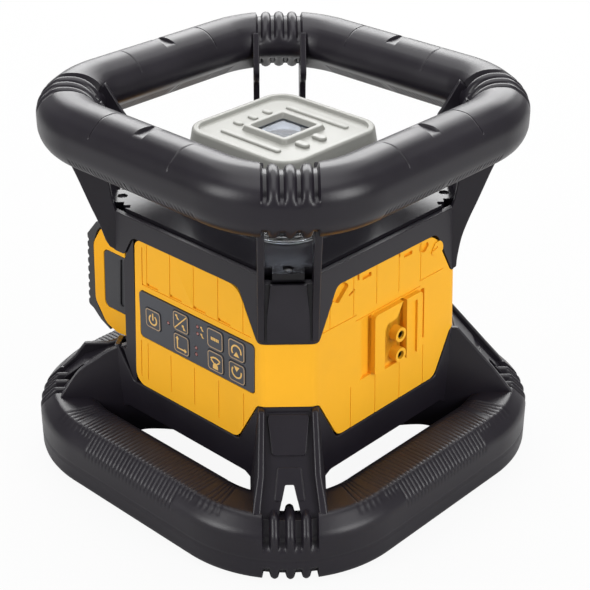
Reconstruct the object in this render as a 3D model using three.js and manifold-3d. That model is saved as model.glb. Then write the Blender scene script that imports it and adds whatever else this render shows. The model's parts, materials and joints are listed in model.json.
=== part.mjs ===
// A self-levelling rotating laser in a roll cage: a battery-powered instrument with a keypad, a
// lantern window under a cap, and carrying rings above and below.
// Millimetres. +Z is up, the origin is on the floor under the middle, -Y is the keypad side,
// +X the accessory side and -X the battery side.
import * as THREE from "three";
import { mergeVertices } from "three/addons/utils/BufferGeometryUtils.js";
import Module from "manifold-3d";

const wasm = await Module();
wasm.setup();

// ---- driving dimensions ----
const GAP = 0.3; // clearance between pieces that touch
const UPPER_RING = { half: 118, tube: 35, bottom: 199, top: 235, corner: 68, section: 14 };
const LOWER_RING = { half: 130, tube: 35, bottom: 2.3, top: 40, corner: 79, section: 12 };
const FOOT_TOP = LOWER_RING.bottom - GAP;

const SHELL_BOTTOM = 56; // the coloured side shell and the black frames above and below it
const SHELL_TOP = 151;
const SKIRT_BOTTOM = 36.5;
const COLLAR_TOP = 163;
const BODY_HALF_BOTTOM = 83; // half width of the body at the shell's bottom edge
const BODY_HALF_TOP = 80; // and at its top edge
const BODY_REF = 81.5; // half width that outlines are drawn at before they are tapered
const CORNER_CUT = 21; // how far each corner of the octagon is cut back along both sides
const CORE_CUT = 34;
const WALL = 3;
const SHELL_LEFT = -41.8; // the shell ends here on the keypad side, next to the battery corner

const BAND_BOTTOM = 83.5; // the shell's band round each corner, between the struts
const BAND_TOP = 122;
const WING_HALF = 27.2; // half width of a strut where it meets the collar or the skirt
const LEG_INNER = 13; // each strut is a channel: two legs with a recessed web between them
const LEG_OUTER = 16.5;
const LOBE_HALF = 8.5; // the deck's lobes on the struts, one under each deck screw
const LOBE_REACH = 99.7; // radius of a lobe's outer end
const SCREW_REACH = 93.5; // radius of the circle that the deck screws stand on
const BAND_HALF = LEG_OUTER + GAP; // half width of the band's straight edge, under a strut

const DECK_TOP = 165;
const DECK_THICKNESS = 5;
const LANTERN = { baseHalf: 52, topHalf: 43, corner: 22, top: 194, wall: 2.5 };
const CAP = { half: 41, baseHalf: 43.5, corner: 16, bottom: 194.3, top: 207.7, rim: 4.5, recess: 2 };
const WINDOW_HALF = 12;

const KEYPAD = { left: -37.3, right: 55.7, bottom: 89.5, top: 119.8, front: -81.9, back: -79 };
const KEY_SIZE = 12.5;
const KEY_PROUD = 0.5;
const KEYS = {
  power_button: [-25.5, 104.9],
  slope_button: [-1.9, 112.2],
  manual_button: [-1.9, 97.8],
  speed_button: [25.9, 112.2],
  scan_button: [25.9, 97.8],
  clockwise_button: [42.8, 112.2],
  counterclockwise_button: [42.8, 97.8],
};
const LAMPS = {
  power_lamp: [-12.9, 107.4],
  slope_x_lamp: [11.5, 114.5],
  slope_y_lamp: [11.5, 110],
  manual_lamp: [9.9, 100.2],
  alert_lamp: [9.9, 96],
};

const ACCESSORY_FACE = 84.5; // x of the raised block on the accessory side
const INSERT_Y = 8.4;
const INSERT_Z = { accessory_insert_upper: 100.7, accessory_insert_lower: 87.5 };

const DOOR = { back: -84.3, front: -115, half: 52, bottom: 55.5, top: 127, wall: 4 };
const POST_LEFT = -51; // left edge of the black post beside the shell; the corner behind it is open
const OPEN_CORNER = { bottom: 75, top: 138 };
const BUMPER_FRONT = -122.5;
const GRIP_INSET = { x: -95.5, z: 91.8, width: 17, height: 41, corner: 5, depth: 2.5 };
const HINGE = { x: -86.5, z: 130.8, pin: 1.6, barrel: 3.5 };
const LATCH = { x: -104, z: 52.1, pin: 1.2 };
const DOOR_CAVITY = { bottom: 62, top: 123 };
const FLANGE_FRONT = -83; // flat face round the battery bay, for the door's gasket
const TRAY = { half: 46, bottom: 57.6, top: 124, back: -58, wall: 2 };
const PACK = { half: 43, bottom: 65, top: 121, back: -61, front: -98 };

const GIMBAL_Z = 95;
const BASE_BOTTOM = 38;
const BASE_TOP = 42;
const BOSS_BOTTOM = 14;
const BOSS_RADIUS = 27;
const THREAD_RADIUS = 7.94; // clear bore of a 5/8 inch tripod screw

// ---- materials ----
const finish = (color, roughness, metalness = 0) => ({ color, roughness, metalness });
const SATIN_BLACK = finish(0x2b292d, 0.5);
const GLOSS_BLACK = finish(0x141416, 0.18);
const YELLOW = finish(0xf6ad1b, 0.42);
const RUBBER = finish(0x242428, 0.75);
const CAP_GREY = finish(0xd2d2cc, 0.5);
const GLASS = finish(0xa9b8c0, 0.05);
const LABEL = finish(0x3c3e46, 0.55);
const STEEL = finish(0x9c9fa3, 0.35, 1);
const BRASS = finish(0xb58d42, 0.35, 1);
const BOARD = finish(0x1f5b35, 0.6);
const LENS_RED = finish(0x9a2c22, 0.3);

// ---- outlines ----
function outline(points) {
  return new THREE.Shape(points.map(([x, y]) => new THREE.Vector2(x, y)));
}

function roundedRectangle(width, height, radius, x = 0, y = 0) {
  const right = width / 2 - radius;
  const top = height / 2 - radius;
  const shape = new THREE.Shape();
  shape.absarc(x + right, y - top, radius, -Math.PI / 2, 0);
  shape.absarc(x + right, y + top, radius, 0, Math.PI / 2);
  shape.absarc(x - right, y + top, radius, Math.PI / 2, Math.PI);
  shape.absarc(x - right, y - top, radius, Math.PI, 1.5 * Math.PI);
  return shape;
}

function disc(radius, x = 0, y = 0) {
  const shape = new THREE.Shape();
  shape.absarc(x, y, radius, 0, 2 * Math.PI);
  return shape;
}

function octagon(half, cut) {
  const side = half - cut;
  const points = [[half, -side], [half, side], [side, half], [-side, half]];
  return outline([...points, ...points.map(([x, y]) => [-x, -y])]);
}

// ---- solids ----
// Axes that an outline's x and y are laid along; the extrusion follows their cross product.
const AXIS = {
  x: new THREE.Vector3(1, 0, 0),
  y: new THREE.Vector3(0, 1, 0),
  z: new THREE.Vector3(0, 0, 1),
};
const FLAT = [AXIS.x, AXIS.y]; // plan view, extruded along +Z
const FRONT = [AXIS.x, AXIS.z]; // elevation from the keypad side, extruded along -Y
const SIDE = [AXIS.y, AXIS.z]; // elevation from the accessory side, extruded along +X

function toSolid(geometry) {
  const bare = geometry.index ? geometry.toNonIndexed() : geometry;
  bare.deleteAttribute("normal");
  bare.deleteAttribute("uv");
  const merged = mergeVertices(bare, 1e-4);
  const vertProperties = merged.attributes.position.array;
  const triVerts = new Uint32Array(merged.index.array);
  return new wasm.Manifold(new wasm.Mesh({ numProp: 3, vertProperties, triVerts }));
}

function toGeometry(solid) {
  const mesh = solid.getMesh();
  const geometry = new THREE.BufferGeometry();
  geometry.setAttribute("position", new THREE.BufferAttribute(mesh.vertProperties, 3));
  geometry.setIndex(new THREE.BufferAttribute(mesh.triVerts, 1));
  const flat = geometry.toNonIndexed();
  flat.computeVertexNormals();
  return flat;
}

function prism(shape, from, to, [across, along] = FLAT, curveSegments = 2) {
  const options = { depth: to - from, bevelEnabled: false, curveSegments };
  const geometry = new THREE.ExtrudeGeometry(shape, options);
  const out = across.clone().cross(along);
  const frame = new THREE.Matrix4().makeBasis(across, along, out);
  return toSolid(geometry.translate(0, 0, from).applyMatrix4(frame));
}

function box([x0, x1], [y0, y1], [z0, z1]) {
  const geometry = new THREE.BoxGeometry(x1 - x0, y1 - y0, z1 - z0);
  return toSolid(geometry.translate((x0 + x1) / 2, (y0 + y1) / 2, (z0 + z1) / 2));
}

// A turned piece round the vertical axis, from [radius, height] points.
function turned(points, segments = 16) {
  const profile = points.map(([r, z]) => new THREE.Vector2(r, z));
  const geometry = new THREE.LatheGeometry(profile, segments);
  return toSolid(geometry.rotateX(Math.PI / 2));
}

function tube(inner, outer, bottom, top, segments = 16) {
  const points = [[inner, bottom], [outer, bottom], [outer, top], [inner, top], [inner, bottom]];
  return turned(points, segments);
}

// A round bar between two values of one axis, through a point given on the other two.
function bar(radius, from, to, axes, [x, y], curveSegments = 4) {
  return prism(disc(radius, x, y), from, to, axes, curveSegments);
}

const joined = (...solids) => solids.reduce((all, next) => all.add(next));
const cutFrom = (solid, ...tools) => tools.reduce((left, tool) => left.subtract(tool), solid);

function quarterTurns(make) {
  return [0, 1, 2, 3].map((turn) => make(THREE.MathUtils.degToRad(45 + 90 * turn)));
}

// Directions at a corner: outwards along its diagonal, and across it.
const radialAt = (angle) => new THREE.Vector3(Math.cos(angle), Math.sin(angle), 0);
const acrossAt = (angle) => AXIS.z.clone().cross(radialAt(angle));

// ---- body walls: octagonal, wider at the bottom ----
function bodyHalf(z) {
  const slope = (BODY_HALF_BOTTOM - BODY_HALF_TOP) / (SHELL_TOP - SHELL_BOTTOM);
  return BODY_HALF_BOTTOM - slope * (z - SHELL_BOTTOM);
}

function taper(solid) {
  return solid.warp((vertex) => {
    const scale = bodyHalf(vertex[2]) / BODY_REF;
    vertex[0] *= scale;
    vertex[1] *= scale;
  });
}

function bodyWall(bottom, top, inset, thickness, cut = CORNER_CUT) {
  const outer = prism(octagon(BODY_REF - inset, cut), bottom, top);
  const innerCut = cut - (2 - Math.SQRT2) * thickness; // keeps the wall equally thick at the corners
  const inner = prism(octagon(BODY_REF - inset - thickness, innerCut), bottom - 1, top + 1);
  return taper(outer.subtract(inner));
}

// The four corner volumes that the struts take out of the body's walls: as wide as the corner
// facet at the band, widening to the shell's edge, and straight beyond it.
function cornerVolumes(bandZ, edgeZ, spare) {
  const farZ = edgeZ + Math.sign(edgeZ - bandZ) * 30;
  const half = [[BAND_HALF + spare, bandZ], [WING_HALF + spare, edgeZ], [WING_HALF + spare, farZ]];
  const mirrored = half.map(([t, z]) => [-t, z]).reverse();
  const shape = outline([...half, ...mirrored]);
  return joined(...quarterTurns((angle) => prism(shape, 76, 140, [acrossAt(angle), AXIS.z])));
}

const upperCorners = (spare) => cornerVolumes(BAND_TOP, SHELL_TOP, spare);
const lowerCorners = (spare) => cornerVolumes(BAND_BOTTOM, SHELL_BOTTOM, spare);

// ---- roll cage ----
function ring({ half, tube: width, bottom, top, corner, section }) {
  const shape = roundedRectangle(2 * half, 2 * half, corner);
  const inside = half - width;
  shape.holes.push(roundedRectangle(2 * inside, 2 * inside, corner - width));
  const geometry = new THREE.ExtrudeGeometry(shape, {
    depth: top - bottom - 2 * section,
    bevelThickness: section,
    bevelSize: section,
    bevelOffset: -section,
    bevelSegments: 2,
    curveSegments: 3,
  });
  return toSolid(geometry.translate(0, 0, bottom + section));
}

// One piece of a strut: a profile of [radius, height] points along a corner's diagonal.
function strutPart(angle, points, from, to) {
  return prism(outline(points), from, to, [radialAt(angle), AXIS.z]);
}

function strutLegs(angle, points) {
  return joined(
    strutPart(angle, points, LEG_INNER, LEG_OUTER),
    strutPart(angle, points, -LEG_OUTER, -LEG_INNER),
  );
}

const STRUT_ROOT = 89; // radius, inside the wall, that every strut starts from
const JOIN = 0.1; // how far a piece of one solid runs into the next

function upperStrut(angle) {
  const bottom = BAND_TOP + GAP;
  const legs = strutLegs(angle, [
    [STRUT_ROOT, bottom], [101, bottom], [101.5, 132], [104, 146], [110.5, 165], [118, 187],
    [122, 202], [108, 202], [101, 186], [97, 170], [STRUT_ROOT, COLLAR_TOP],
  ]);
  const webTop = DECK_TOP - DECK_THICKNESS - GAP;
  const web = [[STRUT_ROOT, bottom], [101.5, bottom], [100, webTop], [STRUT_ROOT, webTop]];
  return joined(legs, strutPart(angle, web, -LEG_INNER - JOIN, LEG_INNER + JOIN));
}

// The tongue of the deck that lies on a strut's web, between its legs.
function deckLobe(angle, spare, extraHeight) {
  const bottom = DECK_TOP - DECK_THICKNESS - spare;
  const top = DECK_TOP + extraHeight;
  const side = LOBE_HALF + spare;
  const reach = LOBE_REACH + spare;
  return strutPart(angle, [[60, bottom], [reach, bottom], [reach, top], [60, top]], -side, side);
}

function strutScrewHole(angle, radius, bottom, top) {
  const { x, y } = radialAt(angle).multiplyScalar(SCREW_REACH);
  return bar(radius, bottom, top, FLAT, [x, y], 3);
}

// The flat flange of the battery bay reaches a little into the struts' wings.
function doorSeat() {
  return box([-95, -60], [-DOOR.half - GAP, DOOR.half + GAP], [SHELL_BOTTOM, DOOR.top + GAP]);
}

// The two corners beside the battery door are open between the struts, so that the door can be gripped.
function openCorners() {
  const edge = DOOR.half + GAP;
  const { bottom, top } = OPEN_CORNER;
  return joined(
    box([-140, POST_LEFT], [-120, -edge], [bottom, top]),
    box([-140, POST_LEFT], [edge, 120], [bottom, top]),
  );
}

// The two lower struts beside the door stop short under it and slope down from the post's foot.
function doorClearance() {
  const above = [[80, 76], [95, 74.5], [105, 70.4], [115, 63.6], [125, 56], [140, 62], [140, 90], [80, 90]];
  const volumes = quarterTurns((angle) => strutPart(angle, above, -BAND_HALF - 20, BAND_HALF + 20));
  return volumes.slice(1, 3);
}

function upperCage() {
  const collar = bodyWall(SHELL_TOP + GAP, COLLAR_TOP, 0, WALL);
  const wings = bodyWall(BAND_TOP + GAP, COLLAR_TOP, 0, WALL)
    .intersect(upperCorners(-GAP));
  const struts = quarterTurns(upperStrut);
  const deckSeats = quarterTurns((angle) => deckLobe(angle, GAP, 10));
  const screwHoles = quarterTurns((angle) => strutScrewHole(angle, 1.8, 140, DECK_TOP));
  const whole = joined(ring(UPPER_RING), collar, wings, ...struts);
  return cutFrom(whole, ...deckSeats, ...screwHoles, doorSeat(), openCorners());
}

function lowerStrut(angle) {
  const top = BAND_BOTTOM - GAP;
  const legs = strutLegs(angle, [
    [STRUT_ROOT, top], [105, top], [127.5, 55.5], [141, 38], [146, 26],
    [128, 25], [116, 34], [104, 40], [STRUT_ROOT, 40],
  ]);
  const profile = [
    [STRUT_ROOT, top], [100, top], [126, 52], [138, 36], [128, 30], [112, 46], [STRUT_ROOT, 60],
  ];
  const web = strutPart(angle, profile, -LEG_INNER - JOIN, LEG_INNER + JOIN);
  const arch = outline([[-5.4, 40.2], [5.4, 40.2], [2.2, 49.7], [-2.2, 49.7]]);
  return joined(legs, web).subtract(prism(arch, 95, 150, [acrossAt(angle), AXIS.z]));
}

function lowerCage() {
  const skirt = bodyWall(SKIRT_BOTTOM, SHELL_BOTTOM - GAP, 0, WALL);
  const wings = bodyWall(SKIRT_BOTTOM, BAND_BOTTOM - GAP, 0, WALL)
    .intersect(lowerCorners(-GAP));
  const struts = quarterTurns(lowerStrut);
  const whole = joined(ring(LOWER_RING), skirt, wings, ...struts);
  return cutFrom(whole, doorSeat(), openCorners(), ...doorClearance());
}

// A rubber pad under each corner of the lower ring.
function footPad(angle) {
  const { half, corner, tube: width } = LOWER_RING;
  const middle = (half - corner) * Math.SQRT2 + corner - width / 2;
  return prism(roundedRectangle(10, 44, 4, middle, 0), 0, FOOT_TOP, [radialAt(angle), acrossAt(angle)]);
}

// ---- housing ----
const strutCorners = () => joined(upperCorners(0), lowerCorners(0));

function keypadOpening(spare, from, to) {
  const width = KEYPAD.right - KEYPAD.left + 2 * spare;
  const height = KEYPAD.top - KEYPAD.bottom + 2 * spare;
  const x = (KEYPAD.left + KEYPAD.right) / 2;
  const z = (KEYPAD.bottom + KEYPAD.top) / 2;
  return prism(roundedRectangle(width, height, 2.5, x, z), from, to, FRONT);
}

function sideShell() {
  const wall = bodyWall(SHELL_BOTTOM + GAP, SHELL_TOP - GAP, 0, WALL);
  const kept = box([SHELL_LEFT, 100], [-100, 100], [0, 200]);
  const block = prism(roundedRectangle(46, 36, 3, 6, 102), 79, ACCESSORY_FACE, SIDE);
  const insertHoles = Object.values(INSERT_Z).map((z) => bar(2.6, 72, 90, SIDE, [INSERT_Y, z]));
  const outside = joined(wall.intersect(kept).subtract(strutCorners()), block);
  return cutFrom(outside, keypadOpening(GAP, 70, 90), ...insertHoles);
}

// The hollow black core: it holds everything, and shows at the battery corners.
const LUG_MIDDLE = 28; // two lugs carry the ends of the door's hinge pin
const LUG_HALF = 4;

function hingeLug(side) {
  const { x, z, barrel } = HINGE;
  const lug = outline([
    [-80, z - barrel], [x, z - barrel], [x - 2.5, z - 2.5], [x - barrel, z],
    [x - 2.5, z + 2.5], [x, z + barrel], [-80, z + 5],
  ]);
  return prism(lug, side * LUG_MIDDLE - LUG_HALF, side * LUG_MIDDLE + LUG_HALF, FRONT);
}

function coreHousing() {
  const coreTop = DECK_TOP - DECK_THICKNESS - GAP;
  const core = bodyWall(BASE_BOTTOM, coreTop, WALL + GAP, 2.5, CORE_CUT);
  const batterySide = box([-100, SHELL_LEFT - 0.4], [-100, 100], [0, 200]);
  const cheeks = bodyWall(SHELL_BOTTOM + GAP, SHELL_TOP - GAP, 0, WALL + 1)
    .intersect(batterySide)
    .subtract(joined(strutCorners(), openCorners()));
  const flange = box([FLANGE_FRONT, -77], [-DOOR.half, DOOR.half], [SHELL_BOTTOM + GAP, DOOR.top]);
  const bayHalf = TRAY.half + GAP;
  const bay = box([-95, -57], [-bayHalf, bayHalf], [TRAY.bottom - GAP, TRAY.top + GAP]);
  const keypadHole = keypadOpening(-1, 70, 90);
  const accessoryHole = box([70, 80], [-20, 32], [82, 122]);
  const pinHole = bar(HINGE.pin + GAP, -33, 33, FRONT, [HINGE.x, HINGE.z]);
  const whole = joined(core, cheeks, flange, hingeLug(-1), hingeLug(1));
  return cutFrom(whole, bay, keypadHole, accessoryHole, pinHole);
}

function basePlate() {
  const plate = prism(octagon(74, 33), BASE_BOTTOM, BASE_TOP);
  const boss = tube(13.3, BOSS_RADIUS, BOSS_BOTTOM, BASE_BOTTOM + 1, 24);
  const bore = turned([[0, 0], [13.3, 0], [13.3, 36], [0, 36]], 24);
  return joined(plate, boss).subtract(bore);
}

// ---- keypad ----
function keypadBezel() {
  const plate = keypadOpening(0, -KEYPAD.back, -KEYPAD.front);
  const keyHoles = Object.values(KEYS).map(([x, z]) => {
    return prism(roundedRectangle(KEY_SIZE + 0.6, KEY_SIZE + 0.6, 2, x, z), 70, 90, FRONT);
  });
  const lampHoles = Object.values(LAMPS).map(([x, z]) => bar(1.4, 70, 90, FRONT, [x, z], 3));
  return cutFrom(plate, ...keyHoles, ...lampHoles);
}

function key([x, z]) {
  const cap = roundedRectangle(KEY_SIZE, KEY_SIZE, 1.8, x, z);
  return prism(cap, 78.5, -KEYPAD.front + KEY_PROUD, FRONT);
}

function lamp([x, z]) {
  return bar(1.1, 79.2, -KEYPAD.front + 0.2, FRONT, [x, z], 3);
}

// ---- top ----
function topDeck() {
  const bottom = DECK_TOP - DECK_THICKNESS;
  const plate = prism(octagon(76, 22), bottom, DECK_TOP);
  const lobes = quarterTurns((angle) => deckLobe(angle, 0, 0));
  const opening = prism(roundedRectangle(88, 88, 18), bottom - 1, DECK_TOP + 1);
  const holes = quarterTurns((angle) => strutScrewHole(angle, 1.8, bottom - 1, DECK_TOP + 1));
  const counterbores = quarterTurns((angle) => strutScrewHole(angle, 3.3, DECK_TOP - 3.5, DECK_TOP + 1));
  const legSlots = quarterTurns((angle) => {
    const clearance = [[88, 100], [130, 100], [130, 200], [88, 200]];
    return joined(
      strutPart(angle, clearance, LEG_INNER - GAP, LEG_OUTER + GAP),
      strutPart(angle, clearance, -LEG_OUTER - GAP, -LEG_INNER + GAP),
    );
  });
  return cutFrom(joined(plate, ...lobes), opening, ...legSlots, ...holes, ...counterbores);
}

function deckScrew(angle) {
  const head = strutScrewHole(angle, 2.9, DECK_TOP - 3.2, DECK_TOP - 1.4);
  const shank = strutScrewHole(angle, 1.4, 142, DECK_TOP - 2);
  return joined(head, shank);
}

// A rounded-square block whose sides lean in from a base width to a top width.
function leaningBlock(baseHalf, topHalf, corner, bottom, top) {
  const block = prism(roundedRectangle(2 * baseHalf, 2 * baseHalf, corner), bottom, top, FLAT, 3);
  return block.warp((vertex) => {
    const scale = 1 + (topHalf / baseHalf - 1) * (vertex[2] - bottom) / (top - bottom);
    vertex[0] *= scale;
    vertex[1] *= scale;
  });
}

function lanternGlass() {
  const { baseHalf, topHalf, corner, top, wall } = LANTERN;
  const bottom = DECK_TOP + GAP;
  const outside = leaningBlock(baseHalf, topHalf, corner, bottom, top);
  const inside = leaningBlock(baseHalf - wall, topHalf - wall, corner - wall, bottom, top);
  return outside.subtract(inside);
}

function topCap() {
  const { half, baseHalf, corner, bottom, top, rim, recess } = CAP;
  const outside = leaningBlock(baseHalf, half, corner, bottom, top);
  const hollow = prism(roundedRectangle(76, 76, 14), bottom - 1, top - recess - 3);
  const inner = 2 * (half - rim);
  const floor = prism(roundedRectangle(inner, inner, corner - rim), top - recess, top + 1);
  const bezel = prism(roundedRectangle(34, 34, 4), top - recess - 1, top - 0.4);
  const hole = prism(roundedRectangle(2 * WINDOW_HALF, 2 * WINDOW_HALF, 2), bottom - 1, top + 1);
  return cutFrom(joined(cutFrom(outside, hollow, floor), bezel), hole);
}

// ---- battery door, hinged along its top edge ----
// Side profile of a box that opens towards the body, with its two outer edges cut off.
function doorProfile(low, high, front, back) {
  const across = 11;
  const up = 15;
  return outline([
    [back, high], [front + across, high], [front, high - up],
    [front, low + up], [front + across, low], [back, low],
  ]);
}

// The barrel round the hinge pin, between the housing's two lugs, on a web down to the door.
function hingeKnuckle() {
  const { x, z, barrel } = HINGE;
  const half = LUG_MIDDLE - LUG_HALF - 0.4;
  const web = outline([[x - 3.4, z], [x + 1, z], [x + 1, DOOR.top - 1], [x - 3.4, DOOR.top - 1]]);
  return joined(bar(barrel, -half, half, FRONT, [x, z]), prism(web, -half, half, FRONT));
}

function latchLug(side) {
  const low = LATCH.z - 2.6;
  const lug = outline([[-108, 56.5], [-107, low], [-101, low], [-100, 56.5]]);
  return prism(lug, side * 15 - 2.5, side * 15 + 2.5, FRONT);
}

function batteryDoor() {
  const { bottom, top, front, back, half, wall } = DOOR;
  const outside = prism(doorProfile(bottom, top, front, back), -half, half, FRONT);
  const cavityShape = doorProfile(DOOR_CAVITY.bottom, DOOR_CAVITY.top, front + wall, back + 1);
  const cavity = prism(cavityShape, wall - half, half - wall, FRONT);
  const grips = [-1, 1].map((side) => doorSidePlate(side, 0, GRIP_INSET.depth, 0));
  const hingeHole = bar(HINGE.pin + GAP, -25, 25, FRONT, [HINGE.x, HINGE.z]);
  const latchHole = bar(LATCH.pin + GAP, -20, 20, FRONT, [LATCH.x, LATCH.z]);
  const whole = joined(cutFrom(outside, cavity, ...grips), hingeKnuckle(), latchLug(-1), latchLug(1));
  return cutFrom(whole, hingeHole, latchHole);
}

// The volume between two depths below one side's surface (+1 is the keypad side), for a grip inset.
function doorSidePlate(side, from, to, spare) {
  const { x, z, width, height, corner } = GRIP_INSET;
  const plate = roundedRectangle(width - 2 * spare, height - 2 * spare, corner - spare, x, z);
  const ends = [side * (DOOR.half - from), side * (DOOR.half - to)];
  return prism(plate, Math.min(...ends), Math.max(...ends), FRONT);
}

function doorGripInset(side) {
  const slot = roundedRectangle(3.4, 33, 1.6, GRIP_INSET.x + 5, GRIP_INSET.z);
  const ends = [side * DOOR.half, side * (DOOR.half - 1.4)];
  const groove = prism(slot, Math.min(...ends), Math.max(...ends), FRONT);
  return doorSidePlate(side, GAP, GRIP_INSET.depth - GAP, GAP).subtract(groove);
}

function doorBumper() {
  const { bottom, top, front, back, half } = DOOR;
  const bumperHalf = half - 4;
  const outside = doorProfile(bottom + 2, top - 2, BUMPER_FRONT, front + 16);
  const doorShape = doorProfile(bottom - GAP, top + GAP, front - GAP, back);
  return prism(outside, -bumperHalf, bumperHalf, FRONT).subtract(prism(doorShape, -half, half, FRONT));
}

function batteryLatch() {
  const { x, z } = LATCH;
  const lever = outline([
    [x - 16, z - 1], [x - 15, z - 2.2], [x + 17.5, z - 2],
    [x + 17.5, z + 1.4], [x, z + 2.2], [x - 15, z + 1.6],
  ]);
  const body = prism(lever, -12, 12, FRONT);
  return body.subtract(bar(LATCH.pin + GAP, -13, 13, FRONT, [x, z]));
}

// ---- battery bay ----
function batteryTray() {
  const { half, bottom, top, back, wall } = TRAY;
  const outside = box([FLANGE_FRONT, back], [-half, half], [bottom, top]);
  const innerHalf = half - wall;
  const inside = box([FLANGE_FRONT - 1, back - wall], [-innerHalf, innerHalf], [bottom + wall, top - wall]);
  const terminalSlot = box([back - 3, back + 1], [-12, 12], [78, 100]);
  return cutFrom(outside, inside, terminalSlot);
}

function batteryPack() {
  const { half, bottom, top, back, front } = PACK;
  const width = 2 * half;
  const middle = (bottom + top) / 2;
  return prism(roundedRectangle(width, top - bottom, 6, 0, middle), front, back, SIDE);
}

function batteryTerminals() {
  const block = box([-59.7, -55], [-11, 11], [79, 99]);
  const blades = [-6, 0, 6].map((y) => box([-60.6, -59], [y - 0.5, y + 0.5], [82, 96]));
  return joined(block, ...blades);
}

function batteryGasket() {
  const low = SHELL_BOTTOM + 0.5;
  const width = 2 * DOOR.half - 1;
  const height = DOOR.top - 0.5 - low;
  const middle = low + height / 2;
  const edge = roundedRectangle(width, height, 4, 0, middle);
  edge.holes.push(roundedRectangle(width - 8, height - 7, 2, 0, middle));
  return prism(edge, FLANGE_FRONT - 1, FLANGE_FRONT - GAP, SIDE);
}

// ---- levelling gimbal, laser and spinning head ----
function gimbalYoke() {
  const foot = box([-12, 12], [-48, 48], [BASE_TOP + GAP, BASE_TOP + 4]);
  const posts = [-1, 1].map((side) => {
    const post = box([-7, 7], [side * 44 - 4, side * 44 + 4], [BASE_TOP + 2, GIMBAL_Z + 8]);
    const ends = [-side * 31, -side * 42];
    const pin = bar(2, Math.min(...ends), Math.max(...ends), FRONT, [0, GIMBAL_Z]);
    return joined(post, pin);
  });
  return joined(foot, ...posts);
}

function outerGimbalRing() {
  const hoop = tube(30, 35, GIMBAL_Z - 6, GIMBAL_Z + 6, 24);
  const yokeHoles = bar(2.4, -40, 40, FRONT, [0, GIMBAL_Z]);
  const tubeHoles = bar(2.4, -40, 40, SIDE, [0, GIMBAL_Z]);
  return cutFrom(hoop, yokeHoles, tubeHoles);
}

const NECK_RADIUS = 8;
const TUBE_TOP = 125;

function laserTube() {
  const barrel = turned([
    [0, 68], [16, 68], [22, 74], [22, 118], [16, TUBE_TOP],
    [NECK_RADIUS, TUBE_TOP], [NECK_RADIUS, 152], [0, 152],
  ]);
  const pins = bar(2, -34, 34, SIDE, [0, GIMBAL_Z]);
  return joined(barrel, pins);
}

function rotorSpindle() {
  return turned([
    [12.4, 128], [15, 128], [15, 142], [11, 146], [11, 168], [NECK_RADIUS + 0.4, 168],
    [NECK_RADIUS + 0.4, 140], [12.4, 140], [12.4, 128],
  ]);
}

function prismHead() {
  const shell = turned([
    [8.4, 168.3], [13, 168.3], [16, 172], [16, 196], [14, 199], [8, 199],
    [8, 196], [12, 194], [12, 174], [8.4, 172], [8.4, 168.3],
  ], 20);
  return shell.subtract(box([5, 20], [-7, 7], [178, 192]));
}

function prismBlock() {
  return prism(outline([[-8, 176.5], [8, 176.5], [8, 181], [0, 190], [-8, 190]]), -8, 8, FRONT);
}

function levelActuator(x, y) {
  const bottom = BASE_TOP + GAP;
  const motor = turned([[0, bottom], [8, bottom], [8, 70], [2, 70], [2, 86], [0, 86]], 12);
  return motor.translate([x, y, 0]);
}

// ---- assembly ----
const group = new THREE.Group();

function add(name, solid, look) {
  const mesh = new THREE.Mesh(toGeometry(solid), new THREE.MeshStandardMaterial(look));
  mesh.name = name;
  group.add(mesh);
}

const CORNER_NAMES = ["rear_right", "rear_left", "front_left", "front_right"];

add("upper_cage", upperCage(), SATIN_BLACK);
add("lower_cage", lowerCage(), SATIN_BLACK);
quarterTurns(footPad).forEach((solid, i) => add("foot_pad_" + CORNER_NAMES[i], solid, RUBBER));

add("side_shell", sideShell(), YELLOW);
add("core_housing", coreHousing(), SATIN_BLACK);
add("base_plate", basePlate(), SATIN_BLACK);
add("tripod_insert", tube(THREAD_RADIUS, 13, BOSS_BOTTOM + GAP, 35.5, 24), BRASS);
for (const [name, z] of Object.entries(INSERT_Z)) {
  const sleeve = bar(2.3, 74, ACCESSORY_FACE - 0.6, SIDE, [INSERT_Y, z]);
  add(name, sleeve.subtract(bar(1.6, 78, 90, SIDE, [INSERT_Y, z])), BRASS);
}

add("keypad_bezel", keypadBezel(), LABEL);
for (const [name, place] of Object.entries(KEYS)) add(name, key(place), LABEL);
for (const [name, place] of Object.entries(LAMPS)) add(name, lamp(place), LENS_RED);
add("keypad_board", box([-31, 49], [-77.4, -75.8], [95, 114]), BOARD);

add("top_deck", topDeck(), GLOSS_BLACK);
quarterTurns(deckScrew).forEach((solid, i) => add("deck_screw_" + CORNER_NAMES[i], solid, STEEL));
add("lantern_glass", lanternGlass(), GLASS);
add("top_cap", topCap(), CAP_GREY);
const windowHalf = WINDOW_HALF - GAP;
add("cap_window", prism(roundedRectangle(2 * windowHalf, 2 * windowHalf, 1.8), 203.5, 205.7), GLASS);

add("battery_tray", batteryTray(), SATIN_BLACK);
add("battery_pack", batteryPack(), SATIN_BLACK);
add("battery_terminals", batteryTerminals(), BRASS);
add("battery_gasket", batteryGasket(), RUBBER);
add("door_hinge_pin", bar(HINGE.pin, -31.5, 31.5, FRONT, [HINGE.x, HINGE.z]), STEEL);
add("battery_door", batteryDoor(), YELLOW);
add("door_grip_front", doorGripInset(1), RUBBER);
add("door_grip_rear", doorGripInset(-1), RUBBER);
add("door_bumper", doorBumper(), RUBBER);
add("latch_pin", bar(LATCH.pin, -17, 17, FRONT, [LATCH.x, LATCH.z]), STEEL);
add("battery_latch", batteryLatch(), SATIN_BLACK);

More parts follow.
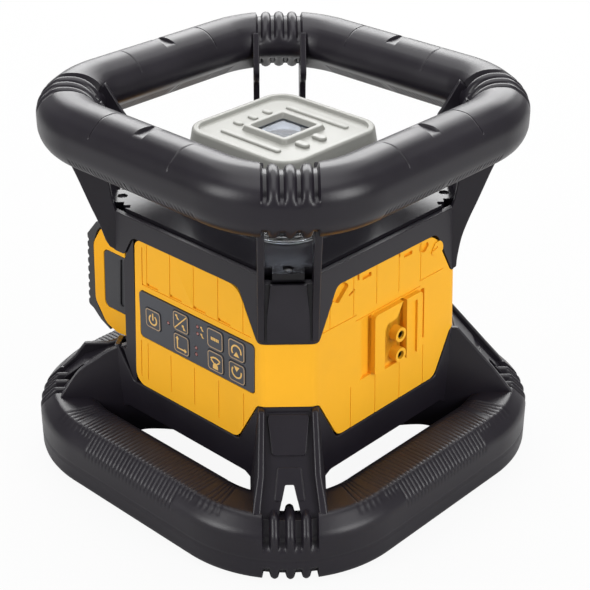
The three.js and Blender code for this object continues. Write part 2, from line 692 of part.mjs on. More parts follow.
add("gimbal_yoke", gimbalYoke(), STEEL);
add("outer_gimbal_ring", outerGimbalRing(), STEEL);
add("laser_tube", laserTube(), STEEL);
add("spindle_bearing", tube(NECK_RADIUS + GAP, 12, 130, 137), STEEL);
add("spin_motor_stator", tube(15.6, 20, TUBE_TOP + GAP, 141), BRASS);
add("rotor_spindle", rotorSpindle(), STEEL);
add("prism_head", prismHead(), SATIN_BLACK);
add("prism_block", prismBlock(), GLASS);
add("level_actuator_x", levelActuator(50, 0), STEEL);
add("level_actuator_y", levelActuator(26, 54), STEEL);
add("main_board", box([-38, 12], [62, 63.6], [56, 132]), BOARD);

export default group;
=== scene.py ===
# The looks of a caged rotating laser level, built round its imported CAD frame.
# Shapes are worked out in millimetres in the frame's axes and scaled to metres as meshes are made:
# +Z is up, -Y is the keypad side, +X the accessory side and -X the battery side.
import json
import math

import bmesh
import bpy
from mathutils import Matrix, Vector


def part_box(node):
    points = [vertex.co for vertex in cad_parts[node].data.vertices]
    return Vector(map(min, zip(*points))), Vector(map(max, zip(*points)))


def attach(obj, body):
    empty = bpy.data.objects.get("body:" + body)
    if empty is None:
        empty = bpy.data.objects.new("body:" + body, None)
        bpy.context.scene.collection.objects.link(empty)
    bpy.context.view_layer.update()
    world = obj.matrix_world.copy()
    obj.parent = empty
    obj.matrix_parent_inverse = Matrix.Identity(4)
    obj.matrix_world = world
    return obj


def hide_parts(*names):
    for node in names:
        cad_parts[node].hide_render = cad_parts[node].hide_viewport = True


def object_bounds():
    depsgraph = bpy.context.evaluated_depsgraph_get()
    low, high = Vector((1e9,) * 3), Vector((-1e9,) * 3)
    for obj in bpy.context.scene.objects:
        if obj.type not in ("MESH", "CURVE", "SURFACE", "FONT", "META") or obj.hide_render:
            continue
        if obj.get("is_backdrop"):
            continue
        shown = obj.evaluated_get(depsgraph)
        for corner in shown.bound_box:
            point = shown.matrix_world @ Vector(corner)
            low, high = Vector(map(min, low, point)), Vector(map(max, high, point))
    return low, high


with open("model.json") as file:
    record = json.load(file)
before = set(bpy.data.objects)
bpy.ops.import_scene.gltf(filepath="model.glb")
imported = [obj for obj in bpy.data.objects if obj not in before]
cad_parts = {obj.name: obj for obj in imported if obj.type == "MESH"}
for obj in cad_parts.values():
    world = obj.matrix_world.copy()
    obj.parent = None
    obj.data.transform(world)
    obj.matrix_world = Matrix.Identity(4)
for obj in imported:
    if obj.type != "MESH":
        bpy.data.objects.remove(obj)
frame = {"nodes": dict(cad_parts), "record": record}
START_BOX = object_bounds()
MM = 0.001


def box_mm(node):
    low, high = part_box(node)
    return low / MM, high / MM


def middle_of(node):
    low, high = box_mm(node)
    return tuple((a + b) / 2 for a, b in zip(low, high))


# ---- driving dimensions, in millimetres ----
UPPER_HIGH = box_mm("upper_cage")[1]
LOWER_LOW, LOWER_HIGH = box_mm("lower_cage")
SHELL_LOW, SHELL_HIGH = box_mm("side_shell")
KEYPAD_LOW, KEYPAD_HIGH = box_mm("keypad_bezel")
TUBE = 35.0  # width of the carrying rings' section
UPPER_RING = {"half": UPPER_HIGH.x, "top": UPPER_HIGH.z, "height": 36.0, "corner": 68.0}
LOWER_RING = {"half": LOWER_HIGH.x, "top": 40.0, "height": 40.0 - LOWER_LOW.z, "corner": 79.0}
RING_FACE = TUBE / 2

SHELL_BOTTOM = SHELL_LOW.z
SHELL_TOP = SHELL_HIGH.z
SHELL_LEFT = SHELL_LOW.x
SKIRT_BOTTOM = 36.5
COLLAR_TOP = 163.0
BAND_BOTTOM = 83.5  # the shell's band round each corner, between the struts
BAND_TOP = 122.0
GAP = 0.35
FLAT_HALF = 60.5  # half width of a flat side of the octagonal body, at its reference size
BODY_REF = 81.5
BAND_HALF = 21.0 / math.sqrt(2)
QUARTER = 2 * (FLAT_HALF + BAND_HALF)  # way round the body from one side's middle to the next
FOLD_RADIUS = 7.0
FOLD_REACH = FOLD_RADIUS * math.tan(math.radians(22.5))
WING_HALF = 27.2  # half width of a strut at the collar and the skirt, along the corner's tangent
LEG_INNER = 12.7
LEG_OUTER = 16.5
DECK_TOP = box_mm("top_deck")[1].z
OPEN_TOP = 138.0  # the corners beside the battery door are open from here down
OPEN_BOTTOM = 75.0


# ---- outlines ----
def arc(centre, radius, start, end, steps):
    """Points on a circle between two angles in degrees."""
    turns = [math.radians(start + (end - start) * i / steps) for i in range(steps + 1)]
    return [(centre[0] + radius * math.cos(a), centre[1] + radius * math.sin(a)) for a in turns]


def rounded(corners, steps=5):
    """A closed outline from (x, y, radius) corners, each rounded to its radius."""
    out = []
    count = len(corners)
    for i, (x, y, radius) in enumerate(corners):
        here = Vector((x, y))
        before = (Vector(corners[i - 1][:2]) - here).normalized()
        after = (Vector(corners[(i + 1) % count][:2]) - here).normalized()
        opening = before.angle(after)
        if radius <= 0 or opening > 3.1:
            out.append((x, y))
            continue
        reach = radius / math.tan(opening / 2)
        first = here + before * reach
        last = here + after * reach
        middle = here + (before + after).normalized() * radius / math.sin(opening / 2)
        for k in range(steps + 1):
            chord = first.lerp(last, k / steps) - middle
            out.append(tuple(middle + chord.normalized() * radius))
    return out


def rounded_rectangle(x0, x1, y0, y1, radius, steps=5):
    return rounded([(x0, y0, radius), (x1, y0, radius), (x1, y1, radius), (x0, y1, radius)], steps)


def smooth_curve(points, steps=6):
    """A smooth open curve through the points (Catmull-Rom)."""
    ends = [points[0], *points, points[-1]]
    out = []
    for p0, p1, p2, p3 in zip(ends, ends[1:], ends[2:], ends[3:]):
        for k in range(steps):
            t = k / steps
            out.append(tuple(
                0.5 * (
                    2 * b + (c - a) * t + (2 * a - 5 * b + 4 * c - d) * t * t
                    + (3 * b - a - 3 * c + d) * t ** 3
                )
                for a, b, c, d in zip(p0, p1, p2, p3)
            ))
    out.append(points[-1])
    return out


def disc(x, y, radius, steps=24):
    return arc((x, y), radius, 0, 360 - 360 / steps, steps - 1)


# ---- solids ----
def as_given(a, b, c):
    return (a, b, c)


def on_corner(angle):
    """Outline drawn across a corner's diagonal: (tangential, height, radius)."""
    cos, sin = math.cos(angle), math.sin(angle)
    return lambda t, z, r: (r * cos - t * sin, r * sin + t * cos, z)


def along_corner(angle):
    """Profile drawn along a corner's diagonal: (radius, height, tangential)."""
    place = on_corner(angle)
    return lambda r, z, t: place(t, z, r)


CORNERS = [math.radians(45 + 90 * turn) for turn in range(4)]


def add_prism(bm, outline, low, high, place=as_given):
    """Adds a closed prism: an outline swept from low to high along its third axis."""
    bottom = [bm.verts.new(place(a, b, low)) for a, b in outline]
    top = [bm.verts.new(place(a, b, high)) for a, b in outline]
    bm.faces.new(bottom[::-1])
    bm.faces.new(top)
    for i, corner in enumerate(bottom):
        j = (i + 1) % len(bottom)
        bm.faces.new((corner, bottom[j], top[j], top[i]))


def add_grid(bm, rows):
    """Adds a surface closed both ways round, from rows of points."""
    made = [[bm.verts.new(p) for p in row] for row in rows]
    for i, row in enumerate(made):
        ahead = made[(i + 1) % len(made)]
        for k, corner in enumerate(row):
            j = (k + 1) % len(row)
            bm.faces.new((corner, row[j], ahead[j], ahead[k]))


def object_of(bm, name):
    """Turns a bmesh into an object with its faces pointing outwards, still in millimetres."""
    bmesh.ops.recalc_face_normals(bm, faces=bm.faces[:])
    mesh = bpy.data.meshes.new(name)
    bm.to_mesh(mesh)
    bm.free()
    made = bpy.data.objects.new(name, mesh)
    bpy.context.scene.collection.objects.link(made)
    return made


def solid(name, *parts):
    """An object made of prisms, each given as (outline, low, high, place)."""
    bm = bmesh.new()
    for part in parts:
        add_prism(bm, *part)
    return object_of(bm, name)


def bake_modifiers(obj):
    bpy.context.view_layer.update()
    shaped = obj.evaluated_get(bpy.context.evaluated_depsgraph_get())
    mesh = bpy.data.meshes.new_from_object(shaped)
    obj.modifiers.clear()
    obj.data = mesh
    return obj


def carve(obj, *parts):
    """Cuts prisms out of obj, each given as in solid()."""
    cutter = solid("cutter", *parts)
    cut = obj.modifiers.new("carve", "BOOLEAN")
    cut.operation = "DIFFERENCE"
    cut.solver = "EXACT"
    cut.use_self = True
    cut.object = cutter
    bake_modifiers(obj)
    bpy.data.objects.remove(cutter)
    return obj


def round_edges(obj, width, segments=2, angle=40):
    bevel = obj.modifiers.new("round", "BEVEL")
    bevel.width = width
    bevel.segments = segments
    bevel.limit_method = "ANGLE"
    bevel.angle_limit = math.radians(angle)
    bevel.miter_outer = "MITER_ARC"
    return bake_modifiers(obj)


def join(target, *others):
    """Adds the other objects' meshes to target, keeping each face's material."""
    bm = bmesh.new()
    slots = []
    for source in (target, *others):
        first = len(bm.faces)
        bm.from_mesh(source.data)
        bm.faces.ensure_lookup_table()
        places = []
        for material in source.data.materials:
            if material not in slots:
                slots.append(material)
            places.append(slots.index(material))
        if places:
            for face in bm.faces[first:]:
                face.material_index = places[min(face.material_index, len(places) - 1)]
    mesh = bpy.data.meshes.new(target.name)
    bm.to_mesh(mesh)
    bm.free()
    for material in slots:
        mesh.materials.append(material)
    target.data = mesh
    for other in others:
        bpy.data.objects.remove(other)
    return target


def paint(obj, material):
    obj.data.materials.clear()
    obj.data.materials.append(material)
    return obj


def smooth_shading(obj):
    mesh = obj.data
    mesh.polygons.foreach_set("use_smooth", [True] * len(mesh.polygons))
    mesh.set_sharp_from_angle(angle=math.radians(48))
    weighted = obj.modifiers.new("even_normals", "WEIGHTED_NORMAL")
    weighted.keep_sharp = True


def place_piece(obj, body, replaced=()):
    """Scales a finished piece to metres, ties it to its body and hides the CAD nodes it replaces."""
    obj.data.transform(Matrix.Scale(MM, 4))
    smooth_shading(obj)
    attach(obj, body)
    if replaced:
        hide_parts(*replaced)


# ---- materials ----
def new_material(name):
    material = bpy.data.materials.new(name)
    material.use_nodes = True
    nodes = material.node_tree.nodes
    return material, nodes, material.node_tree.links, nodes["Principled BSDF"]


def noise(nodes, links, scale, detail=4.0, roughness=0.6):
    where = nodes.new("ShaderNodeTexCoord")
    made = nodes.new("ShaderNodeTexNoise")
    made.inputs["Scale"].default_value = scale
    made.inputs["Detail"].default_value = detail
    made.inputs["Roughness"].default_value = roughness
    links.new(where.outputs["Object"], made.inputs["Vector"])
    return made


def ramp(nodes, links, source, low, high, places=(0.35, 0.65)):
    made = nodes.new("ShaderNodeValToRGB")
    for stop, place, value in zip(made.color_ramp.elements, places, (low, high)):
        stop.position = place
        stop.color = value if len(value) == 4 else (*value, 1)
    links.new(source, made.inputs["Fac"])
    return made


def add_gloss(nodes, links, surface, source, low, high, places=(0.35, 0.65)):
    """Roughness that varies between low and high with the source."""
    made = ramp(nodes, links, source, (low,) * 3, (high,) * 3, places)
    links.new(made.outputs["Color"], surface.inputs["Roughness"])


def add_relief(nodes, links, surface, source, strength, distance):
    made = nodes.new("ShaderNodeBump")
    made.inputs["Strength"].default_value = strength
    made.inputs["Distance"].default_value = distance
    links.new(source, made.inputs["Height"])
    links.new(made.outputs["Normal"], surface.inputs["Normal"])


def moulded(name, colour, rough=(0.38, 0.5), grain=900, bump=0.04, worn=None, wear=0.35, mottle=0.12,
            specular=0.5, coat=0.0):
    """Moulded plastic or rubber: fine grain, uneven gloss, slight mottling and paler worn edges."""
    material, nodes, links, surface = new_material(name)
    broad = noise(nodes, links, 22, 5)
    fine = noise(nodes, links, grain, 3)
    dark = tuple(c * (1 - mottle) for c in colour)
    pale = tuple(min(1, c * (1 + mottle)) for c in colour)
    tint = ramp(nodes, links, broad.outputs["Fac"], dark, pale)
    edges = nodes.new("ShaderNodeNewGeometry")
    worn = worn or tuple(min(1, c * 1.6 + 0.02) for c in colour)
    edge_mask = ramp(nodes, links, edges.outputs["Pointiness"], (0, 0, 0), (wear, wear, wear), (0.52, 0.62))
    mixed = nodes.new("ShaderNodeMix")
    mixed.data_type = "RGBA"
    base, paler = mixed.inputs[6], mixed.inputs[7]
    paler.default_value = (*worn, 1)
    links.new(edge_mask.outputs["Color"], mixed.inputs["Factor"])
    links.new(tint.outputs["Color"], base)
    links.new(mixed.outputs[2], surface.inputs["Base Color"])
    add_gloss(nodes, links, surface, broad.outputs["Fac"], *rough, (0.3, 0.7))
    add_relief(nodes, links, surface, fine.outputs["Fac"], bump, 0.0004)
    surface.inputs["Specular IOR Level"].default_value = specular
    surface.inputs["Coat Weight"].default_value = coat
    surface.inputs["Coat Roughness"].default_value = 0.08
    return material


def machined(name, colour, rough=(0.22, 0.38)):
    """Turned or ground metal with fine lines and slight staining."""
    material, nodes, links, surface = new_material(name)
    where = nodes.new("ShaderNodeTexCoord")
    spread = nodes.new("ShaderNodeMapping")
    spread.inputs["Scale"].default_value = (1, 1, 30)
    links.new(where.outputs["Object"], spread.inputs["Vector"])
    lines = nodes.new("ShaderNodeTexNoise")
    lines.inputs["Scale"].default_value = 160
    lines.inputs["Detail"].default_value = 4
    links.new(spread.outputs["Vector"], lines.inputs["Vector"])
    stain = noise(nodes, links, 60, 4)
    tint = ramp(nodes, links, stain.outputs["Fac"], tuple(c * 0.82 for c in colour), colour)
    links.new(tint.outputs["Color"], surface.inputs["Base Color"])
    add_gloss(nodes, links, surface, lines.outputs["Fac"], *rough)
    add_relief(nodes, links, surface, lines.outputs["Fac"], 0.08, 0.0002)
    surface.inputs["Metallic"].default_value = 1.0
    return material


def clear(name, tint, rough=0.02, ior=1.45):
    """Clear glass or lens with a faint uneven polish."""
    material, nodes, links, surface = new_material(name)
    smear = noise(nodes, links, 35, 4)
    add_gloss(nodes, links, surface, smear.outputs["Fac"], rough, rough + 0.05)
    hue = ramp(nodes, links, smear.outputs["Fac"], tuple(c * 0.97 for c in tint), tint)
    links.new(hue.outputs["Color"], surface.inputs["Base Color"])
    surface.inputs["Transmission Weight"].default_value = 1.0
    surface.inputs["IOR"].default_value = ior
    surface.inputs["Specular IOR Level"].default_value = 0.3
    return material


SATIN = moulded("satin_black", (0.012, 0.010, 0.0145), (0.30, 0.40), bump=0.05, worn=(0.040, 0.036, 0.045),
                wear=0.12, specular=0.36)
GLOSSY = moulded("gloss_black", (0.010, 0.009, 0.012), (0.16, 0.24), grain=300, bump=0.008, wear=0.2,
                 specular=0.3)
YELLOW = moulded("yellow", (0.95, 0.435, 0.007), (0.36, 0.48), grain=700, bump=0.03,
                 worn=(0.98, 0.60, 0.10), wear=0.2, mottle=0.03, specular=0.12)
RUBBER = moulded("rubber", (0.03, 0.03, 0.034), (0.55, 0.72), grain=1200, bump=0.12)
CAP_GREY = moulded("cap_grey", (0.30, 0.30, 0.278), (0.36, 0.48), bump=0.02, mottle=0.03, wear=0.2,
                   worn=(0.46, 0.46, 0.43), specular=0.35)
LABEL = moulded("label", (0.048, 0.05, 0.06), (0.42, 0.52), grain=1500, bump=0.02, mottle=0.05)
PRINT_GOLD = moulded("print_gold", (0.80, 0.47, 0.13), (0.4, 0.5), bump=0.02, mottle=0.08, wear=0.1)
PRINT_TAN = moulded("print_tan", (0.42, 0.29, 0.17), (0.42, 0.52), bump=0.02, mottle=0.08, wear=0.1)
LENS = moulded("lamp_lens", (0.28, 0.10, 0.09), (0.12, 0.2), grain=300, bump=0.02, coat=0.5)
BOARD = moulded("board", (0.02, 0.12, 0.05), (0.3, 0.45), grain=400, bump=0.05)
STEEL = machined("steel", (0.55, 0.55, 0.57))
BRASS = machined("brass", (0.70, 0.50, 0.22))
DARK_BRASS = machined("dark_brass", (0.06, 0.04, 0.025))
GLASS = clear("glass", (0.60, 0.63, 0.65))
WINDOW = clear("window_glass", (0.55, 0.60, 0.70), 0.03, 1.12)
BY_SLOT = {
    "satin_black": SATIN, "gloss_black": GLOSSY, "yellow": YELLOW, "rubber": RUBBER, "cap_grey": CAP_GREY,
    "glass": GLASS, "label": LABEL, "key": LABEL, "lamp_lens": LENS, "board": BOARD, "brass": BRASS,
    "steel": STEEL,
}


# ---- carrying rings ----
def resample(outline, spacing):
    """The closed outline again with evenly spaced points."""
    loop = [Vector(p) for p in outline]
    lengths = [(loop[(i + 1) % len(loop)] - p).length for i, p in enumerate(loop)]
    total = sum(lengths)
    count = round(total / spacing)
    out = []
    i = 0
    passed = 0.0
    for k in range(count):
        wanted = total * k / count
        while passed + lengths[i] < wanted:
            passed += lengths[i]
            i += 1
        out.append(loop[i].lerp(loop[(i + 1) % len(loop)], (wanted - passed) / lengths[i]))
    return out


def ring_section(corners):
    """Points (out, down) of a ring's section, each with its outward normal."""
    points = resample(rounded(corners, 9), 1.35)
    made = []
    for i, p in enumerate(points):
        along = points[(i + 1) % len(points)] - points[i - 1]
        made.append((p.x, p.y, along.y / along.length, -along.x / along.length))
    return made


def turned(x, y, z, quarters):
    """A point turned about the upright axis by a number of quarter turns."""
    cos, sin = math.cos(quarters * math.pi / 2), math.sin(quarters * math.pi / 2)
    return (x * cos - y * sin, x * sin + y * cos, z)


def step(value, start, end):
    """0 before start and 1 after end, straight in between; start may lie above end."""
    return min(1.0, max(0.0, (value - start) / (end - start)))


def groove_depth(t, pitch, floor, wall, depth, crown):
    """Depth at t of four grooves with rounded ribs between them, centred on t = 0."""
    centres = [pitch * k for k in (-1.5, -0.5, 0.5, 1.5)]
    nearest = min(abs(t - c) for c in centres)
    if nearest <= floor:
        return depth
    if nearest <= wall:
        return depth + (crown - depth) * (nearest - floor) / (wall - floor)
    if abs(t) > centres[-1]:
        return 0.0
    across = (pitch / 2 - nearest) / (pitch / 2 - wall)
    return crown * across * across


def groove_stations(pitch, floor, wall):
    """Places along the corner's tangent where its grooves and ribs need a section."""
    found = {0.0}
    for centre in (0.5 * pitch, 1.5 * pitch):
        rib = pitch / 2 - wall
        offsets = [0, floor, wall, wall + 0.25 * rib, wall + 0.6 * rib, pitch / 2]
        found.update(centre + d for d in offsets)
        found.update(centre - d for d in offsets)
    ends = 1.5 * pitch + wall
    found.update((ends + 0.5, ends + 1.6))
    return sorted({round(s * t, 3) for t in found if t <= ends + 2 for s in (-1, 1)})


FINE_PITCH = 3.0  # pitch of the fine grip ribs


def fine_stations(limit):
    """Sections that draw fine ribs: a valley at each pitch and a flat between valleys."""
    count = int(limit / FINE_PITCH)
    return [FINE_PITCH * k + d for k in range(-count, count + 1) for d in (-0.8, 0.0, 0.8)]


def in_valley(t):
    return abs(t - FINE_PITCH * round(t / FINE_PITCH)) < 0.05


FAN_RIBS = 10  # fine ribs that fan round between a side and a corner's grooves


def ring_rows(ring, section, groove, extra, relief):
    """Rows of points once round a ring. relief gives how far a point sinks: (inwards, down)."""
    straight = ring["half"] - ring["corner"]
    centre_radius = ring["corner"] - RING_FACE
    side_places = sorted({round(t, 3) for t in extra if abs(t) < straight - 1} | {-straight, straight})
    corner_places = groove_stations(*groove)
    edge = corner_places[-1]
    fan = [(k + d) / FAN_RIBS for k in range(FAN_RIBS) for d in (0.0, 0.27, 0.73)][1:]
    rows = []

    def add_row(kind, t, place):
        row = []
        for out, z, *normal in section:
            inward, down = relief(kind, t, out, z, *normal)
            row.append(place(out - inward, z - down))
        rows.append(row)

    for turn in range(4):
        def on_side(t):
            reach = ring["half"] - RING_FACE
            return lambda out, z: turned(reach + out, t, ring["top"] + z, turn)

        def on_bend(angle_of):
            def place(out, z):
                radius = centre_radius + out
                angle = math.pi / 4 + angle_of(radius)
                x = straight + radius * math.cos(angle)
                y = straight + radius * math.sin(angle)
                return turned(x, y, ring["top"] + z, turn)
            return place

        def fan_angle(share, side):
            def angle_of(radius):
                start = math.asin(edge / radius)
                return side * (start + (math.pi / 4 - start) * share)
            return angle_of

        for t in side_places:
            add_row("side", t, on_side(t))
        for share in fan[::-1]:
            add_row("fan", share, on_bend(fan_angle(share, -1)))
        for t in corner_places:
            add_row("corner", t, on_bend(lambda radius, t=t: math.asin(t / radius)))
        for share in fan:
            add_row("fan", share, on_bend(fan_angle(share, 1)))
    return rows


UPPER_GROOVES = (8.3, 0.9, 1.7)
LOWER_GROOVES = (8.75, 1.5, 2.3)


def upper_relief(kind, t, out, z, out_normal, up_normal):
    depth = 0.0
    if kind == "corner":
        top_end, bottom_start = (-13, -27) if out > 0 else (-12.5, -25)
        reach = max(step(z, top_end, top_end + 3.5), step(z, bottom_start, bottom_start - 3))
        depth = reach * groove_depth(t, *UPPER_GROOVES, 2.7, 1.1)
    if kind == "side":
        if abs(t) < 3.3 and z > -1.7 and abs(up_normal) > 0.2:
            return 0.0, max(0.0, z + 1.7)
        if abs(abs(t) - 30.5) < 0.1 and z > -9:
            depth = 0.35
        if z < -26.5 and abs(t) > 0.1 and in_valley(t):
            depth = 0.6
    return depth * out_normal, depth * up_normal


def lower_relief(kind, t, out, z, out_normal, up_normal):
    depth = 0.0
    if kind == "corner":
        reach = max(step(z, -18, -14), step(z, -29, -32))
        depth = reach * groove_depth(t, *LOWER_GROOVES, 4.0 if z > -20 else 3.6, 1.2)
        if z > -20:
            depth += 5.0 * step(out, 0, -8) * step(abs(t), 15, 11)
    ribbed_side = kind == "side" and in_valley(t)
    ribbed_fan = kind == "fan" and t > 0.5 and in_valley(t * FAN_RIBS * FINE_PITCH)
    if ribbed_side or ribbed_fan:
        lowest = -24 if out < 0 else (-13 if kind == "side" and abs(t) < 38.5 else -4)
        if z > lowest:
            depth = 0.45
    if out > 0 and abs(z + 24.7) < 0.7:
        depth = max(depth, 0.5)
    return depth * out_normal, depth * up_normal


def carrying_ring(name, ring, corners, groove, extra, relief):
    bm = bmesh.new()
    add_grid(bm, ring_rows(ring, ring_section(corners), groove, extra, relief))
    return object_of(bm, name)


def upper_ring():
    coarse = [6.0 * k for k in range(-8, 9)]
    notch = [-3.7, -3.2, 3.2, 3.7]
    seams = [side * (30.5 + d) for side in (-1, 1) for d in (-0.5, 0.0, 0.5)]
    height = UPPER_RING["height"]
    corners = [
        (-RING_FACE, 0, 17), (-RING_FACE, -21, 9), (0.5, -height, 9), (RING_FACE, -height, 15),
        (RING_FACE, -9, 13), (6, 0, 12),
    ]
    extra = coarse + notch + seams + fine_stations(50)
    return carrying_ring("upper_ring", UPPER_RING, corners, UPPER_GROOVES, extra, upper_relief)


def lower_ring():
    height = LOWER_RING["height"]
    corners = [
        (-RING_FACE, 0, 9), (-RING_FACE, -height, 10), (RING_FACE, -height, 4), (RING_FACE, -9, 8),
        (8.5, 0, 4),
    ]
    return carrying_ring("lower_ring", LOWER_RING, corners, LOWER_GROOVES, fine_stations(51), lower_relief)


# ---- struts ----
def beside_door(angle):
    """Whether a corner is one of the two next to the battery door."""
    return math.cos(angle) < 0


def upper_strut(angle):
    """Two curved legs with a recessed web between them, under a corner of the upper ring."""
    profile = along_corner(angle)
    low = OPEN_TOP if beside_door(angle) else BAND_TOP + GAP
    outer = smooth_curve([
        (100.8, 124), (101.4, 132), (103.3, 144.5), (107.2, 157), (110.6, 166), (117, 184), (121.5, 196),
        (123, 207),
    ])
    inner = smooth_curve([
        (101, 229), (97, 221.5), (92.5, 213), (89.2, 206.5), (92, 201), (98.6, 196), (99.4, 186), (98, 171),
        (95.6, 162), (91.7, 158), (90, 150), (90, 124),
    ])
    sides = [(r, z) for r, z in outer + inner if z > low + 6]
    sides += [(90, low), (97.5, low), (101, low + 2.2)]

    legs = solid("legs", (sides, LEG_INNER, LEG_OUTER, profile), (sides, -LEG_OUTER, -LEG_INNER, profile))
    round_edges(legs, 0.7)

    def leaning(t, z, depth):
        return on_corner(angle)(t, z, 100.3 + 0.045 * (z - BAND_TOP) + depth)
    face = low + 1.2
    panel = [(-9.7, 159.8, 0.3), (-11.4, max(140, face + 1), 1.2), (-11.6, face, 3), (11.6, face, 3),
             (11.4, max(140, face + 1), 1.2), (9.7, 159.8, 0.3)]
    web = solid(
        "web",
        (rounded_rectangle(-LEG_INNER - 0.2, LEG_INNER + 0.2, low, 159.8, 0.5), -5, -0.8, leaning),
        (rounded(panel), -3, 1.0, leaning),
    )
    round_edges(web, 0.5)
    return [legs, web]


def lower_strut(angle):
    """Two legs that run out over a corner of the lower ring, with a pierced web between them."""
    profile = along_corner(angle)
    cut_back = beside_door(angle)
    keel = smooth_curve([(95, 13.3), (90, 15.8), (83.7, 17), (74.4, 16.8), (66, 15.8)], 4)
    under = [(128, 18), (112, 12.5), *keel, (62, 20), (62, 37.4), (87, 37.4), (90, 40)]
    full = [(90, 83), (104.6, 83), (127.3, 55.6), (136.5, 44), (144.5, 33), (146, 24)]
    short = smooth_curve([
        (90, 75), (95, 74.5), (105, 70.4), (115, 63.6), (125, 55.9), (135, 41.8), (145, 27.8), (146, 24),
    ])
    under_door = [(90, 63), (99, 61.5), (109.5, 58), (123.8, 58), (130.7, 48.3), (141.5, 37.4), (146, 24)]
    door_side = -math.copysign(1, -math.sin(angle))

    def widened(z):
        return 1.1 * step(z, 84, 55) + 3.9 * step(z, 55, 36)

    legs = []
    for side in (-1, 1):
        def flared(r, z, t, side=side):
            return profile(r, z, side * (t + widened(z) * (1 if t > 14 else 0.75)))
        slope = full
        if cut_back:
            slope = under_door if side == door_side else short
        leg = solid("leg", (slope + under, LEG_INNER, LEG_OUTER, flared))
        legs.append(round_edges(leg, 1.2, 3))
    start = Vector((99.5, 83.2))
    along = (Vector((127, 50)) - start).normalized()
    out = Vector((-along.y, along.x))

    def on_slope(t, length, depth):
        point = start + along * length + out * depth
        return profile(point.x, point.y, t)

    def between_legs(r, z, t):
        return profile(r, z, t + math.copysign(0.75 * widened(z), t))

    top_line = [(90, 83), (99.5, 83), (127, 50)]
    low_line = [(123, 47), (96, 78), (90, 78)]
    if cut_back:
        top_line = [(90, 60), (109, 56), (124, 50)]
        low_line = [(122, 46), (108, 51), (90, 55)]
    web_side = [*top_line, (137.5, 37.5), (139, 33), (134, 33), *low_line]
    web = solid("web", (web_side, -13.6, 13.6, between_legs))
    arch = rounded([(-6.8, 34.5, 1.0), (6.8, 34.5, 1.0), (2.3, 50.2, 0.8), (-2.3, 50.2, 0.8)])
    panel = rounded([(-11.6, 5.0, 2), (11.6, 5.0, 2), (9, 27.5, 2), (-9, 27.5, 2)])
    frame_box = rounded([(-6.3, 34, 1), (6.3, 34, 1), (8.2, 52, 1), (-8.2, 52, 1)])
    if not cut_back:
        web = join(web, solid("panel", (panel, -3, 1.4, on_slope), (frame_box, -3, 0.9, on_slope)))
    carve(web, (arch, 80, 170, on_corner(angle)))
    round_edges(web, 0.7, 3)
    return [*legs, web]


# ---- body walls, drawn flat as (way round, height, depth) and folded round the octagon ----
def unrolled(t):
    """Way round the body from a corner's middle to a point t along the corner's tangent."""
    return t if t < BAND_HALF else BAND_HALF + (t - BAND_HALF) * math.sqrt(2)


def wall_point(s, z, h):
    """s is measured round the body from the middle of the accessory side, h outwards."""
    turn = math.floor(s / QUARTER + 0.5)
    local = s - turn * QUARTER
    along = abs(local)
    half_turn = math.radians(22.5)
    if along <= FLAT_HALF - FOLD_REACH:
        x, y = BODY_REF + h, along
    elif along < FLAT_HALF + FOLD_REACH:
        angle = half_turn * (1 + (along - FLAT_HALF) / FOLD_REACH)
        x = BODY_REF - FOLD_RADIUS + (FOLD_RADIUS + h) * math.cos(angle)
        y = FLAT_HALF - FOLD_REACH + (FOLD_RADIUS + h) * math.sin(angle)
    else:
        past = (along - FLAT_HALF) / math.sqrt(2)
        x = BODY_REF - past + h / math.sqrt(2)
        y = FLAT_HALF + past + h / math.sqrt(2)
    x, y, z = turned(x, math.copysign(y, local), z, turn)
    size = (83.0 - 3.0 * (z - SHELL_BOTTOM) / (SHELL_TOP - SHELL_BOTTOM)) / BODY_REF
    return Vector((x * size, y * size, z))


def fold(obj):
    """Folds a flat wall piece round the body, with cuts across each fold so that it bends evenly."""
    bm = bmesh.new()
    bm.from_mesh(obj.data)
    lines = [
        turn * QUARTER + side * FLAT_HALF + FOLD_REACH * share
        for turn in range(-2, 3)
        for side in (-1, 1)
        for share in (-1, -0.5, 0, 0.5, 1)
    ]
    for s in lines:
        everything = bm.verts[:] + bm.edges[:] + bm.faces[:]
        bmesh.ops.bisect_plane(bm, geom=everything, plane_co=(s, 0, 0), plane_no=(1, 0, 0), dist=1e-4)
    for vert in bm.verts:
        vert.co = wall_point(*vert.co)
    bm.to_mesh(obj.data)
    bm.free()
    return obj


def at_front(x):
    return x - QUARTER


def at_rear(x):
    return QUARTER - x


def at_right(y):
    return y


CORNER_WAYS = [QUARTER * k for k in (-1.5, -0.5, 0.5, 1.5)]
LOOP_END = 2 * QUARTER - 0.01


def collar():
    """The black frame above the side shell, with a wing down to the band at each corner."""
    wide = unrolled(WING_HALF - GAP)
    narrow = unrolled(LEG_OUTER)
    bottom = SHELL_TOP + GAP
    corners = [(-LOOP_END, bottom, 0)]
    for c in CORNER_WAYS:
        by_door = abs(c) > QUARTER
        low = OPEN_TOP if by_door else BAND_TOP + GAP
        foot = unrolled(21.9) if by_door else narrow
        corners += [(c - wide, bottom, 6), (c - foot, low, 3), (c + foot, low, 3), (c + wide, bottom, 6)]
    corners += [(LOOP_END, bottom, 0), (LOOP_END, COLLAR_TOP, 0)]
    for c in CORNER_WAYS[::-1]:
        corners += [
            (c + 13.2, COLLAR_TOP, 0.5), (c + 13.2, 159.4, 0.3),
            (c - 13.2, 159.4, 0.3), (c - 13.2, COLLAR_TOP, 0.5),
        ]
    corners.append((-LOOP_END, COLLAR_TOP, 0))
    return fold(round_edges(solid("collar", (rounded(corners), -3, 0.5)), 0.8, 3))


